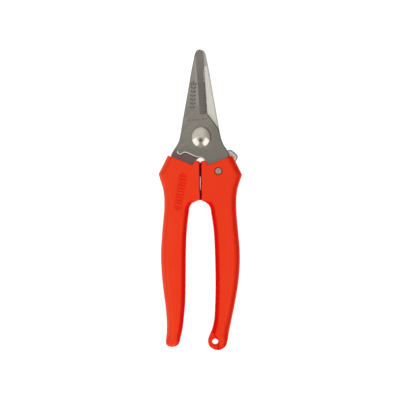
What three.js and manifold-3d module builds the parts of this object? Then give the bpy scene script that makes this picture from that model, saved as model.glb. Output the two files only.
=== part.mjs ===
// Floral snips: two stamped stainless blades riveted together, each with its tang moulded into a plastic grip,
// a compression spring between the heads of the grips and a swinging catch that holds the snips shut.
// The snips lie flat and closed. Millimetres, +Z up: X runs across the tool, Y from the ends of the grips to
// the tips of the blades and Z through its thickness. The origin is below the centre of the bounding box.
import * as THREE from "three";
import { mergeVertices } from "three/addons/utils/BufferGeometryUtils.js";
import Module from "manifold-3d";

const wasm = await Module();
wasm.setup();

// ---- Driving dimensions ----
const LENGTH = 190; // over the tips and the longer grip
const WIDTH = 52.6; // over the outer corners of the two heads
const THICKNESS = 13; // of a grip
const TIP_Y = LENGTH / 2;
const MID_Z = THICKNESS / 2;

const GRIP_ROUNDING = 2.4;
const SLOT = 0.65; // half the gap between the heads
const STOP = 0.2; // half the gap where the heads meet and stop the closing
const HORN_ROUNDING = 0.5;
const MOULD_FIT = 0.3; // room between a tang and the grip around it

const BLADE_THICKNESS = 2.5;
const BLADE_GAP = 0.3; // between the faces of the two blades
const BLADE_Z = MID_Z + BLADE_GAP / 2; // inner face of the front blade
const BEVEL_WIDTH = 4.75; // of the ground edge
const EDGE_LAND = 0.25; // thickness left at the cutting edge
const HEEL = [4.45, 54.2]; // where the ground edge ends
const TOE = [2.05, 88.5];

const PIVOT = [0, TIP_Y - 55.4];
const RUNNING_FIT = 0.1; // room around a shank that something turns on
const FIT = 0.2; // room between two stacked faces or around a rivet's head
const SHANK_RADIUS = 3;
const HEAD_RADIUS = 5.7;
const HEAD_HEIGHT = 1.9;
const TAIL_RADIUS = 4.2;
const TAIL_HEIGHT = 1.7;
const WASHER_RADIUS = 5.4;
const WASHER_THICKNESS = 0.7;

const CATCH_PIN = [11.4, 18.1];
const PIN_RADIUS = 1.5;
const PIN_HEAD_RADIUS = 2.2;
const PIN_HEAD_HEIGHT = 1.2;
const PIN_INSET = 0.1; // of each end of the pin below the face of the grip
const CATCH_THICKNESS = 1.8;
const CATCH_Z = BLADE_Z - 0.45 - CATCH_THICKNESS;
const CATCH_HUB_RADIUS = 4.6;
const CATCH_SLOT_FLOOR = 3.3;
const CATCH_SLOT_RADIUS = 5.1;
const TAB_BOTTOM_Z = 0.5;
const CATCH_WASHER_RADIUS = 3.6;
const CATCH_WASHER_THICKNESS = 0.5;

const SPRING_Y = 17.3;
const COIL_RADIUS = 2.3; // to the middle of the wire
const WIRE_RADIUS = 0.4;
const COIL_TURNS = 9;
const POCKET_RADIUS = 3.1;
const POCKET_END_X = 6.8; // from the centre line to the bottom of a spring pocket

// The lip on the left grip closes the back of the slot beside the spring.
const LIP_TIP_X = 0.3;
const LIP_Y = [14.9, 23.7];
const LIP_Z = [1.4, 2.6];

const HANG_HOLE = [9.45, -89.7];
const HANG_HOLE_RADIUS = 1.95;
const HANG_LUG_INSET = 3.6; // of the lug's faces below the faces of the grip

const PANEL_TOP = [-10.6, 17.2];
const PANEL_BOTTOM = [-14.6, -6.3];
const PANEL_WIDTH = 5.3;
const PANEL_DEPTH = 0.6;
const RIB_PITCH = 1.9;
const RIB_WIDTH = 0.8;
const RIB_HEIGHT = 0.4;
const RIB_BREAK = 0.7;

// ---- Materials ----
const steel = new THREE.MeshStandardMaterial({ color: 0x8d8a82, roughness: 0.35, metalness: 1 });
const polished = new THREE.MeshStandardMaterial({ color: 0xc9c5b8, roughness: 0.18, metalness: 1 });
const zinc = new THREE.MeshStandardMaterial({ color: 0xa9b0b2, roughness: 0.4, metalness: 1 });
const wire = new THREE.MeshStandardMaterial({ color: 0x5f5c58, roughness: 0.4, metalness: 1 });
const plastic = new THREE.MeshStandardMaterial({ color: 0xe83c1e, roughness: 0.4, metalness: 0 });

// ---- Outlines, each for the part on the right of the centre line, counter-clockwise ----
// Front blade: cutting edge, tip, spine on the left, hooked shoulder, crotch, tang, right shoulder and ricasso.
const BLADE = [
  HEEL, TOE, [1.75, 92.6], [1.1, 94.3], [0.2, TIP_Y], [-1, 94.95], [-2.1, 94.4], [-2.95, 93.3], [-3.5, 91.9],
  [-4.15, 88.6], [-5.5, 82.2], [-6.6, 75.9], [-8.75, 63.2], [-11.05, 50.5], [-12.6, 41], [-13.15, 38.4],
  [-14.7, 30.4], [-14.55, 29.5], [-13.9, 28.8], [-13, 28.5], [-12.1, 28.6], [-11, 29.3], [-9.8, 29.75],
  [-8.6, 29.6], [-6.5, 28.7], [-3.4, 27.3], [-0.8, 26.55], [1, 26.3], [1.9, 25.7], [2.6, 24.7], [4.2, 21.5],
  [7.4, 21.3], [7.6, 12], [10.2, 2], [12, -18], [12.8, -46], [20, -46], [20.4, -24], [18.4, 0], [19.2, 14],
  [16.8, 25.6], [18.7, 27.9], [17.9, 29.7], [16.7, 31.7], [14.75, 34.7], [13.75, 36.8], [13.2, 38.4],
  [12.6, 41], [11.85, 44.2], [10.9, 45.9], [5.1, 53.5],
];
// The head that both grips share: its top edge, outer corner and waist, from the slot outwards.
const HEAD_TOP = [[WIDTH / 2, 15.9], [20.35, 27.75], [4.8, 21.6], [SLOT, 20]];
const HEAD_SLOT = [[SLOT, 5.6], [STOP, 4.2], [STOP, 0.4], [3.2, -1], [5.4, -2.4], [6.8, -4.8]];
const HEAD_WAIST = [[22.65, 0], [22.95, 3.6], [23.5, 7.2], [25, 12]];
const LEFT_INNER = [
  [7.5, -9], [8.5, -18], [9.1, -29], [9.3, -42], [9.4, -55], [9.7, -66], [10.4, -74], [11.3, -81.5],
];
const LEFT_END = [
  [12.6, -87.4], [13.8, -91], [15.4, -92.3], [17.8, -92.7], [20.1, -92.2], [21.6, -90], [21.5, -86.6],
];
const LEFT_OUTER = [
  [21, -81], [21.2, -74.5], [22, -66], [23.2, -57], [24.2, -47], [24.75, -35], [24.3, -25],
  [23.3, -13], [22.7, -6],
];
const RIGHT_INNER = [
  [7.4, -9], [8.6, -18], [9.2, -29], [9.6, -42], [9.75, -54], [9.5, -66], [8.95, -75.5], [7.6, -82],
];
const RIGHT_END = [
  [5.75, -86.4], [5.1, -89.3], [5.8, -92.1], [7.9, -94.2], [10.8, -TIP_Y], [13.7, -94.1], [15.8, -92.1],
];
const RIGHT_OUTER = [
  [17, -88.5], [18, -83], [20, -74], [22, -64], [23.8, -53], [24.8, -42], [24.8, -31],
  [23.8, -20], [22.8, -8],
];
// The horn beside the tang, at the top of the slot.
const HORN = [[SLOT, 14.6], [6.5, 17], [6, 20.4], [4.8, 21.6], [2.8, 24.2], [1.7, 24.3], [SLOT, 23.6]];
// Edge of the full-thickness body along the thinner hanging lug.
const LUG_RECESS = [
  [7.6, -84], [9.6, -85.4], [11.4, -87.4], [12, -89.7], [11.6, -92], [9.9, -96], [2, -96], [2, -84],
];
// Catch: hub, concave edge facing the hooked shoulder, thumb tab.
const CATCH_HEAD = [
  [14.8, 15], [20.2, 20.4], [22.9, 24.8], [23.6, 26], [23.8, 27.6], [23.3, 28.7], [21.2, 30.6], [19.7, 31.6],
  [17.2, 31.5], [16.2, 30.5], [14.7, 28.6], [13, 26.8], [11, 25.4], [8.6, 23.4], [7.2, 20],
];
const TAB = [
  [22, 26.2], [23.55, 25.8], [23.8, 27.6], [23.3, 28.7], [21.2, 30.6], [19.7, 31.6], [19.3, 30],
  [20.3, 29.3], [22, 27.7],
];
const CATCH_SLOT_OPENING = [[7.6, 21.5], [14, 13.7], [25, 18.9], [30, 18.9], [30, 34], [7.6, 34]];

// ---- Solids ----
const points = (pairs) => pairs.map(([x, y]) => new THREE.Vector2(x, y));

// The outline moved outwards by `by` along the bisector at each corner.
function grown(pairs, by) {
  return points(pairs).map((corner, i, all) => {
    const before = corner.clone().sub(all.at(i - 1)).normalize();
    const after = all[(i + 1) % all.length].clone().sub(corner).normalize();
    const outward = new THREE.Vector2(before.y + after.y, -before.x - after.x).normalize();
    const reach = by / Math.max(outward.dot(new THREE.Vector2(after.y, -after.x)), 0.5);
    return corner.clone().addScaledVector(outward, reach).toArray();
  });
}

// Rounds an outline by passing a closed curve through its corners.
function smooth(pairs, perCorner) {
  const corners = pairs.map(([x, y]) => new THREE.Vector3(x, y, 0));
  const curve = new THREE.CatmullRomCurve3(corners, false, "centripetal");
  return curve.getPoints((pairs.length - 1) * perCorner).map((p) => [p.x, p.y]);
}

function solidOf(geometry) {
  const bare = geometry.clone();
  bare.deleteAttribute("normal");
  bare.deleteAttribute("uv");
  const merged = mergeVertices(bare, 1e-4);
  const vertProperties = merged.attributes.position.array;
  const triVerts = new Uint32Array(merged.index.array);
  return new wasm.Manifold(new wasm.Mesh({ numProp: 3, vertProperties, triVerts }));
}

function meshOf(name, solid, material) {
  const { numProp, numVert, vertProperties, triVerts } = solid.getMesh();
  const positions = new Float32Array(numVert * 3);
  for (let i = 0; i < numVert; i++) positions.set(vertProperties.subarray(i * numProp, i * numProp + 3), i * 3);
  const geometry = new THREE.BufferGeometry();
  geometry.setAttribute("position", new THREE.BufferAttribute(positions, 3));
  geometry.setIndex(new THREE.BufferAttribute(triVerts, 1));
  geometry.computeVertexNormals();
  const mesh = new THREE.Mesh(geometry, material);
  mesh.name = name;
  return mesh;
}

// A flat outline raised from z0 to z1, its edges rounded inwards by `rounding`.
function plate(pairs, [z0, z1], rounding = 0) {
  const geometry = new THREE.ExtrudeGeometry(new THREE.Shape(points(pairs)), {
    depth: z1 - z0 - 2 * rounding,
    bevelEnabled: rounding > 0,
    bevelThickness: rounding,
    bevelSize: rounding,
    bevelOffset: -rounding,
    bevelSegments: rounding > 1 ? 4 : 2,
  });
  return solidOf(geometry.translate(0, 0, z0 + rounding));
}

// A round bar along Z at [x, y].
function bar([x, y], radius, [z0, z1], sides = 32) {
  const geometry = new THREE.CylinderGeometry(radius, radius, z1 - z0, sides);
  return solidOf(geometry.rotateX(Math.PI / 2).translate(x, y, (z0 + z1) / 2));
}

// A solid of revolution about the upright axis at [x, y], from [radius, z] pairs that start and end on it.
function turned([x, y], profile, sides = 40) {
  const geometry = new THREE.LatheGeometry(points(profile), sides);
  return solidOf(geometry.rotateX(Math.PI / 2).translate(x, y, 0));
}

// ---- Blades ----
function frontBlade() {
  const heel = new THREE.Vector3(...HEEL, BLADE_Z);
  const down = heel.clone().sub(new THREE.Vector3(...TOE, BLADE_Z)).normalize();
  const up = new THREE.Vector3(0, 0, 1);
  const across = new THREE.Vector3().crossVectors(up, down);
  const wedge = [[2, EDGE_LAND], [2, 4], [-BEVEL_WIDTH, 4], [-BEVEL_WIDTH, BLADE_THICKNESS], [0, EDGE_LAND]];
  const length = TIP_Y - HEEL[1] + 5;
  const section = new THREE.Shape(points(wedge));
  const ground = new THREE.ExtrudeGeometry(section, { depth: length, bevelEnabled: false });
  const start = heel.addScaledVector(down, -length);
  ground.applyMatrix4(new THREE.Matrix4().makeBasis(across, up, down).setPosition(start));
  return plate(BLADE, [BLADE_Z, BLADE_Z + BLADE_THICKNESS])
    .subtract(solidOf(ground))
    .subtract(bar(PIVOT, SHANK_RADIUS + RUNNING_FIT, [0, THICKNESS], 40))
    .subtract(bar(CATCH_PIN, PIN_RADIUS + RUNNING_FIT, [0, THICKNESS], 28));
}

// The rear blade is the same stamping, turned over about the long axis of the tool.
function turnedOver(solid) {
  return solid.translate(0, 0, -MID_Z).rotate(0, 180, 0).translate(0, 0, MID_Z);
}

// ---- Pivot ----
function dome(radius, height, z, direction, steps = 7) {
  const sphere = (radius * radius + height * height) / (2 * height);
  const edge = Math.asin(radius / sphere);
  return Array.from({ length: steps + 1 }, (_, i) => {
    const a = edge * (1 - i / steps);
    return [sphere * Math.sin(a), z + direction * (sphere * Math.cos(a) - sphere + height)];
  });
}

function pivotRivet() {
  const headZ = BLADE_Z + BLADE_THICKNESS + FIT;
  const washerZ = THICKNESS - headZ - WASHER_THICKNESS;
  const tail = dome(TAIL_RADIUS, TAIL_HEIGHT, washerZ - FIT, -1).reverse();
  const head = dome(HEAD_RADIUS, HEAD_HEIGHT, headZ, 1);
  return turned(PIVOT, [...tail, [SHANK_RADIUS, washerZ - FIT], [SHANK_RADIUS, headZ], ...head]);
}

function washer(at, outer, inner, z, thickness) {
  return bar(at, outer, [z, z + thickness], 40).subtract(bar(at, inner, [z - 1, z + thickness + 1]));
}

// ---- Grips ----
const pocketBar = () => {
  const geometry = new THREE.CylinderGeometry(POCKET_RADIUS, POCKET_RADIUS, POCKET_END_X + 1, 28);
  return solidOf(geometry.rotateZ(Math.PI / 2).translate((POCKET_END_X - 1) / 2, SPRING_Y, MID_Z));
};

function gripBody(inner, end, outer) {
  const flank = smooth([...HEAD_SLOT.slice(-2), ...inner, ...end, ...outer, ...HEAD_WAIST], 2);
  const outline = [...HEAD_TOP, ...HEAD_SLOT.slice(0, -2), ...flank];
  return plate(outline, [0, THICKNESS], GRIP_ROUNDING)
    .add(plate(HORN, [0, THICKNESS], HORN_ROUNDING))
    .subtract(plate(grown(BLADE, MOULD_FIT), [BLADE_Z - MOULD_FIT, BLADE_Z + BLADE_THICKNESS + MOULD_FIT]))
    .subtract(pocketBar());
}

function rightGrip() {
  const slotTop = BLADE_Z;
  const hub = bar(CATCH_PIN, CATCH_SLOT_RADIUS, [CATCH_SLOT_FLOOR, slotTop]);
  const headRoom = PIN_HEAD_HEIGHT + PIN_INSET + FIT;
  const recess = smooth(LUG_RECESS.slice(0, 6), 2).concat(LUG_RECESS.slice(6));
  return gripBody(RIGHT_INNER, RIGHT_END, RIGHT_OUTER)
    .subtract(hub)
    .subtract(plate(CATCH_SLOT_OPENING, [CATCH_SLOT_FLOOR, slotTop]))
    .subtract(bar(CATCH_PIN, PIN_RADIUS + RUNNING_FIT, [-1, THICKNESS + 1], 28))
    .subtract(bar(CATCH_PIN, PIN_HEAD_RADIUS + FIT, [THICKNESS - headRoom, THICKNESS + 1]))
    .subtract(bar(CATCH_PIN, PIN_HEAD_RADIUS + FIT, [-1, headRoom]))
    .subtract(plate(recess.toReversed(), [THICKNESS - HANG_LUG_INSET, THICKNESS + 1]))
    .subtract(plate(recess.toReversed(), [-1, HANG_LUG_INSET]))
    .subtract(bar(HANG_HOLE, HANG_HOLE_RADIUS, [0, THICKNESS]));
}

// A slanted panel with rounded ends, sunk into the front of the left grip and crossed by raised ribs.
function leftGrip() {
  const body = turnedOver(gripBody(LEFT_INNER, LEFT_END, LEFT_OUTER));
  const top = new THREE.Vector2(...PANEL_TOP);
  const bottom = new THREE.Vector2(...PANEL_BOTTOM);
  const length = top.distanceTo(bottom);
  const radius = PANEL_WIDTH / 2;
  const shape = new THREE.Shape().absarc(length - radius, 0, radius, -Math.PI / 2, Math.PI / 2);
  shape.absarc(radius, 0, radius, Math.PI / 2, (3 * Math.PI) / 2);
  const place = (solid) => solid.rotate(0, 0, THREE.MathUtils.radToDeg(top.clone().sub(bottom).angle()))
    .translate(bottom.x, bottom.y, 0);
  const outline = shape.getPoints(8).map((p) => p.toArray());
  const floor = THICKNESS - PANEL_DEPTH;
  const ribCount = Math.floor((length - PANEL_WIDTH) / RIB_PITCH);
  const half = radius - 0.9;
  let panel = plate(outline, [floor, THICKNESS + 1]);
  for (let i = 0; i <= ribCount; i++) {
    const x = length / 2 + (i - ribCount / 2) * RIB_PITCH;
    // every other rib is broken in the middle
    const spans = i % 2 ? [[-half, -RIB_BREAK / 2], [RIB_BREAK / 2, half]] : [[-half, half]];
    for (const [y0, y1] of spans) {
      const [x0, x1] = [x - RIB_WIDTH / 2, x + RIB_WIDTH / 2];
      const rib = [[x0, y0], [x1, y0], [x1, y1], [x0, y1]];
      panel = panel.subtract(plate(rib, [floor - 1, floor + RIB_HEIGHT]));
    }
  }
  const lip = [[-3, LIP_Y[0]], [LIP_TIP_X, LIP_Y[0]], [LIP_TIP_X, LIP_Y[1]], [-2.2, LIP_Y[1]]];
  return body.subtract(place(panel)).add(plate(lip, LIP_Z));
}

// ---- Catch ----
function catchLever() {
  const top = CATCH_Z + CATCH_THICKNESS;
  return plate(CATCH_HEAD, [CATCH_Z, top])
    .add(bar(CATCH_PIN, CATCH_HUB_RADIUS, [CATCH_Z, top]))
    .add(plate(TAB, [TAB_BOTTOM_Z, CATCH_Z + 1]))
    .subtract(bar(CATCH_PIN, PIN_RADIUS + RUNNING_FIT, [0, THICKNESS], 28));
}

function catchRivet() {
  const top = THICKNESS - PIN_INSET;
  const face = PIN_HEAD_RADIUS - 0.3;
  return turned(CATCH_PIN, [
    [0, PIN_INSET], [face, PIN_INSET], [PIN_HEAD_RADIUS, PIN_INSET + 0.3],
    [PIN_HEAD_RADIUS, PIN_INSET + PIN_HEAD_HEIGHT], [PIN_RADIUS, PIN_INSET + PIN_HEAD_HEIGHT],
    [PIN_RADIUS, top - PIN_HEAD_HEIGHT], [PIN_HEAD_RADIUS, top - PIN_HEAD_HEIGHT],
    [PIN_HEAD_RADIUS, top - 0.3], [face, top], [0, top],
  ], 28);
}

// ---- Spring ----
class Coil extends THREE.Curve {
  getPoint(t, target = new THREE.Vector3()) {
    const turn = t * COIL_TURNS;
    const ends = Math.min(turn, 1) + Math.max(turn - COIL_TURNS + 1, 0);
    const closed = 2 * WIRE_RADIUS + 0.1; // pitch of the closed turn at each end
    const half = POCKET_END_X - 0.3 - WIRE_RADIUS;
    const open = (2 * half - 2 * closed) / (COIL_TURNS - 2);
    const x = -half + ends * closed + (turn - ends) * open;
    const angle = 2 * Math.PI * turn;
    return target.set(x, SPRING_Y + COIL_RADIUS * Math.cos(angle), MID_Z + COIL_RADIUS * Math.sin(angle));
  }
}

function handleSpring() {
  const section = new THREE.Shape().absarc(0, 0, WIRE_RADIUS, 0, 2 * Math.PI);
  const steps = COIL_TURNS * 16;
  return solidOf(new THREE.ExtrudeGeometry(section, { steps, extrudePath: new Coil(), curveSegments: 4 }));
}

// ---- Assembly ----
const blade = frontBlade();
const washerZ = THICKNESS - (BLADE_Z + BLADE_THICKNESS + FIT) - WASHER_THICKNESS;
const catchWasherZ = (CATCH_SLOT_FLOOR + CATCH_Z - CATCH_WASHER_THICKNESS) / 2;

const group = new THREE.Group();
group.name = "floral_snips";
group.add(
  meshOf("front_blade", blade, steel),
  meshOf("rear_blade", turnedOver(blade), steel),
  meshOf("pivot_rivet", pivotRivet(), polished),
  meshOf(
    "pivot_washer",
    washer(PIVOT, WASHER_RADIUS, SHANK_RADIUS + RUNNING_FIT, washerZ, WASHER_THICKNESS),
    zinc,
  ),
  meshOf("right_grip", rightGrip(), plastic),
  meshOf("left_grip", leftGrip(), plastic),
  meshOf("catch_lever", catchLever(), zinc),
  meshOf("catch_rivet", catchRivet(), polished),
  meshOf(
    "catch_washer",
    washer(CATCH_PIN, CATCH_WASHER_RADIUS, PIN_RADIUS + RUNNING_FIT, catchWasherZ, CATCH_WASHER_THICKNESS),
    zinc,
  ),
  meshOf("handle_spring", handleSpring(), wire),
);

export default group;
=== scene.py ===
"""Floral snips, closed and lying flat, seen from straight above.

Lengths inside the script are in millimetres in the frame of the CAD model, and turn into metres
when a mesh is made.
"""
import math

import bmesh
import bpy
import numpy as np
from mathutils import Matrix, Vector


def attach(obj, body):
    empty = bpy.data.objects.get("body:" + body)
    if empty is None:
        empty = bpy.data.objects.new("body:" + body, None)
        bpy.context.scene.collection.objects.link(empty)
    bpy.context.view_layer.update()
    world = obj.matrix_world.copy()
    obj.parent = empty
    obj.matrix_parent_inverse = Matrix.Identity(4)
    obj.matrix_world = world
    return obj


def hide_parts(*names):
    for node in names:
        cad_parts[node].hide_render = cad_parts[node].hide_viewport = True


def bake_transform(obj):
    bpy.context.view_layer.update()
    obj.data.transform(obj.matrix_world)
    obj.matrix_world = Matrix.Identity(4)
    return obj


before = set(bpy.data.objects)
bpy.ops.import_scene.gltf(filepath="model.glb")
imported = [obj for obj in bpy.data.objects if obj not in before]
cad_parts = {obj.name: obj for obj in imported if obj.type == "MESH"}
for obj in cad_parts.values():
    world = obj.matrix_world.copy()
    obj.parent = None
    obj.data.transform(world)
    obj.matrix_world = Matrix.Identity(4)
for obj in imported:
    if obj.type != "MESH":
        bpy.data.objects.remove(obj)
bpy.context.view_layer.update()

MM = 0.001
WIDTH = 52.6
THICKNESS = 13.0
MID_Z = THICKNESS / 2
PIVOT = (0.0, 39.6)
CATCH_PIN = (11.4, 18.1)
HANG_HOLE = (9.45, -89.7)
BLADE_THICKNESS = 2.5
BLADE_Z = MID_Z + 0.15
TIP_Y = 95.0
HEEL = (4.45, 54.2)
TOE = (2.05, 88.5)
BEVEL_WIDTH = 4.75
EDGE_LAND = 0.25
RIM = 0.45
# how far along the ground edge from the heel the long grooves end, and the short ones
NOTCHES = (20.3, 28.0)
PIVOT_BORE = 3.1
SPRING_Y = 17.3


# ---------------------------------------------------------------- outlines
def catmull(points, per_corner=6, closed=False):
    """Points along a centripetal Catmull-Rom curve through `points`."""
    p = np.asarray(points, float)
    if closed:
        p = np.vstack([p[-1], p, p[:2]])
    else:
        p = np.vstack([2 * p[0] - p[1], p, 2 * p[-1] - p[-2]])
    out = []
    for a, b, c, d in zip(p, p[1:], p[2:], p[3:]):
        ab, bc, cd = (max(np.linalg.norm(v) ** 0.5, 1e-6) for v in (b - a, c - b, d - c))
        m1 = ((b - a) / ab - (c - a) / (ab + bc) + (c - b) / bc) * bc
        m2 = ((c - b) / bc - (d - b) / (bc + cd) + (d - c) / cd) * bc
        for i in range(per_corner):
            t = i / per_corner
            out.append(
                (2 * t**3 - 3 * t**2 + 1) * b + (t**3 - 2 * t**2 + t) * m1
                + (3 * t**2 - 2 * t**3) * c + (t**3 - t**2) * m2
            )
    if not closed:
        out.append(p[-2])
    return np.array(out)


def filleted(corners):
    """A closed outline from (x, y, radius) corners, each rounded to its radius."""
    out = []
    for i, (x, y, r) in enumerate(corners):
        p = np.array([x, y])
        a = np.array(corners[i - 1][:2]) - p
        b = np.array(corners[(i + 1) % len(corners)][:2]) - p
        if r <= 0:
            out.append(p)
            continue
        la, lb = np.linalg.norm(a), np.linalg.norm(b)
        a, b = a / la, b / lb
        half = math.acos(np.clip(a @ b, -1, 1)) / 2
        cut = min(r / math.tan(half), 0.49 * la, 0.49 * lb)
        start, end = p + a * cut, p + b * cut
        for t in np.linspace(0, 1, 8):
            out.append((1 - t) ** 2 * start + 2 * t * (1 - t) * p + t * t * end)
    return np.array(out)


INNER = {
    "left": [(7.5, -9), (8.5, -18), (9.1, -29), (9.3, -42), (9.4, -55), (9.7, -66),
             (10.4, -74), (11.3, -81.5)],
    "right": [(7.1, -9), (8.45, -18), (9.2, -29), (9.6, -42), (9.75, -54), (9.5, -66),
              (8.95, -75.5), (7.6, -82)],
}
END = {
    "left": [(12.6, -87.4), (13.2, -89.9), (13.9, -91.2), (15.4, -92.2), (17.8, -92.7),
             (20.1, -92.2), (21.35, -91), (21.7, -89.4), (21.4, -86.6)],
    "right": [(5.75, -86.4), (5.0, -89.4), (5.75, -92.1), (7.9, -94), (10.8, -94.75),
              (13.7, -94), (16, -92.1)],
}
OUTER = {
    "left": [(21, -81), (21.2, -74.5), (22, -66), (23.2, -57), (24.2, -47), (24.75, -35),
             (24.3, -25), (23.3, -13), (22.7, -6)],
    "right": [(17.2, -88.5), (18.1, -83), (20, -74), (22, -64), (23.8, -53), (24.8, -42),
              (24.8, -31), (23.8, -20), (22.8, -8)],
}
ARCH = {
    "left": [(3.2, -0.95), (5.4, -2.2), (6.8, -4.6)],
    "right": [(3.2, -1.4), (5.1, -2.8), (6.45, -5.1)],
}
WAIST = [(22.65, 0), (22.95, 3.6), (23.5, 7.2), (25, 12)]
HEAD_CORNERS = {
    "left": [(26.28, 16.5, 0.2), (20.55, 27.85, 0.3)],
    "right": [(26.25, 15.9, 0.2), (20.35, 27.75, 0.3)],
}
HORN = [(4.8, 21.55, 0.3), (3.2, 24.5, 0.5), (1.4, 24.45, 0.5), (-0.6, 23.4, 0)]


def flank(side):
    """The grip's edge from the stop, round the finger gap and the end, up to its waist."""
    curve = catmull(ARCH[side][1:] + INNER[side] + END[side] + OUTER[side] + WAIST, 5)
    return [(-0.6, -0.15, 0), (*ARCH[side][0], 3)] + [(x, y, 0) for x, y in curve]


def grip_outline(side):
    """Top edge, horn beside the tang, slot, then the flank, as it lies right of the centre line."""
    return filleted(HEAD_CORNERS[side] + HORN + flank(side))


def flank_outline(side):
    """The grip's edge carried on above the head, so that only the flanks are shaped by it."""
    return filleted([(26.25, 15.9, 0.2), (17.5, 33.4, 0), (12, 40, 0), (-0.6, 40, 0)] + flank(side))


BLADE = [
    HEEL, TOE, (1.75, 92.6), (1.1, 94.3), (0.2, TIP_Y), (-1, 94.95), (-2.1, 94.4), (-2.95, 93.3),
    (-3.5, 91.9), (-4.15, 88.6), (-5.5, 82.2), (-6.6, 75.9), (-8.75, 63.2), (-11.05, 50.5),
    (-12.6, 41), (-13.15, 38.4), (-14.7, 30.4), (-14.55, 29.5), (-13.9, 28.8), (-13, 28.5),
    (-12.1, 28.6), (-11, 29.3), (-9.8, 29.75), (-8.6, 29.6), (-6.5, 28.7), (-3.4, 27.3),
    (-0.8, 26.55), (1, 26.3), (1.9, 25.7), (2.6, 24.7), (4.2, 21.5), (7.4, 21.3), (7.6, 12),
    (10.2, 2), (12, -18), (12.8, -46), (20, -46), (20.4, -24), (18.4, 0), (19.2, 14), (16.8, 25.6),
    (18.7, 27.9), (17.9, 29.7), (16.7, 31.7), (14.75, 34.7), (13.75, 36.8), (13.2, 38.4),
    (12.6, 41), (11.85, 44.2), (10.9, 45.9), (5.1, 53.5),
]
CATCH = [
    (14.8, 15), (20.2, 20.4), (22.9, 24.8), (23.6, 26), (23.8, 27.6), (23.3, 28.7), (21.2, 30.6),
    (19.7, 31.6), (17.2, 31.5), (16.2, 30.5), (14.7, 28.6), (13, 26.8), (11, 25.4), (8.6, 23.4),
    (7.2, 20),
]


# ---------------------------------------------------------------- distance fields
class Outline:
    def __init__(self, polygon, margin=4.0, step=0.15):
        a = np.asarray(polygon, float)
        b = np.roll(a, -1, axis=0)
        self.low = a.min(0) - margin
        self.step = step
        size = np.ceil((a.max(0) + margin - self.low) / step).astype(int) + 1
        xs, ys = (self.low[k] + step * np.arange(size[k]) for k in (0, 1))
        px, py = np.meshgrid(xs, ys, indexing="ij")
        near = np.full(px.shape, 1e9)
        inside = np.zeros(px.shape, bool)
        for (x0, y0), (x1, y1) in zip(a, b):
            dx, dy = x1 - x0, y1 - y0
            t = np.clip(((px - x0) * dx + (py - y0) * dy) / max(dx * dx + dy * dy, 1e-12), 0, 1)
            np.minimum(near, (px - x0 - t * dx) ** 2 + (py - y0 - t * dy) ** 2, out=near)
            if y0 != y1:
                crosses = ((y0 <= py) != (y1 <= py)) & (px < x0 + (py - y0) * dx / dy)
                inside ^= crosses
        self.table = np.where(inside, -1.0, 1.0) * np.sqrt(near)

    def __call__(self, x, y):
        u = np.clip((x - self.low[0]) / self.step, 0, self.table.shape[0] - 1.001)
        v = np.clip((y - self.low[1]) / self.step, 0, self.table.shape[1] - 1.001)
        i, j = u.astype(int), v.astype(int)
        u, v = u - i, v - j
        t = self.table
        near = t[i, j] * (1 - u) + t[i + 1, j] * u
        far = t[i, j + 1] * (1 - u) + t[i + 1, j + 1] * u
        return near * (1 - v) + far * v


def smoothstep(low, high, x):
    t = np.clip((x - low) / (high - low), 0, 1)
    return t * t * (3 - 2 * t)


def both(a, b, soft=0.3):
    """Intersection with an edge rounded over about `soft`."""
    h = np.clip(0.5 + 0.5 * (a - b) / soft, 0, 1)
    return b + (a - b) * h + soft * h * (1 - h)


def either(a, b, soft=0.3):
    return -both(-a, -b, soft)


def without(a, b, soft=0.3):
    return both(a, -b, soft)


def slab(z, low, high):
    return np.maximum(low - z, z - high)


def eased_plate(d, z, half, wide, deep, power=2.0):
    """A plate `half` thick either side of MID_Z whose edge falls `deep` over its last `wide`."""
    q1 = np.maximum(d + wide, 0) / wide
    q2 = np.maximum(np.abs(z - MID_Z) - (half - deep), 0) / deep
    edge = ((q1**power + q2**power) ** (1 / power) - 1) * np.minimum(wide, deep)
    return np.where((q1 > 0) | (q2 > 0), edge, np.maximum(d, np.abs(z - MID_Z) - half))


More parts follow.
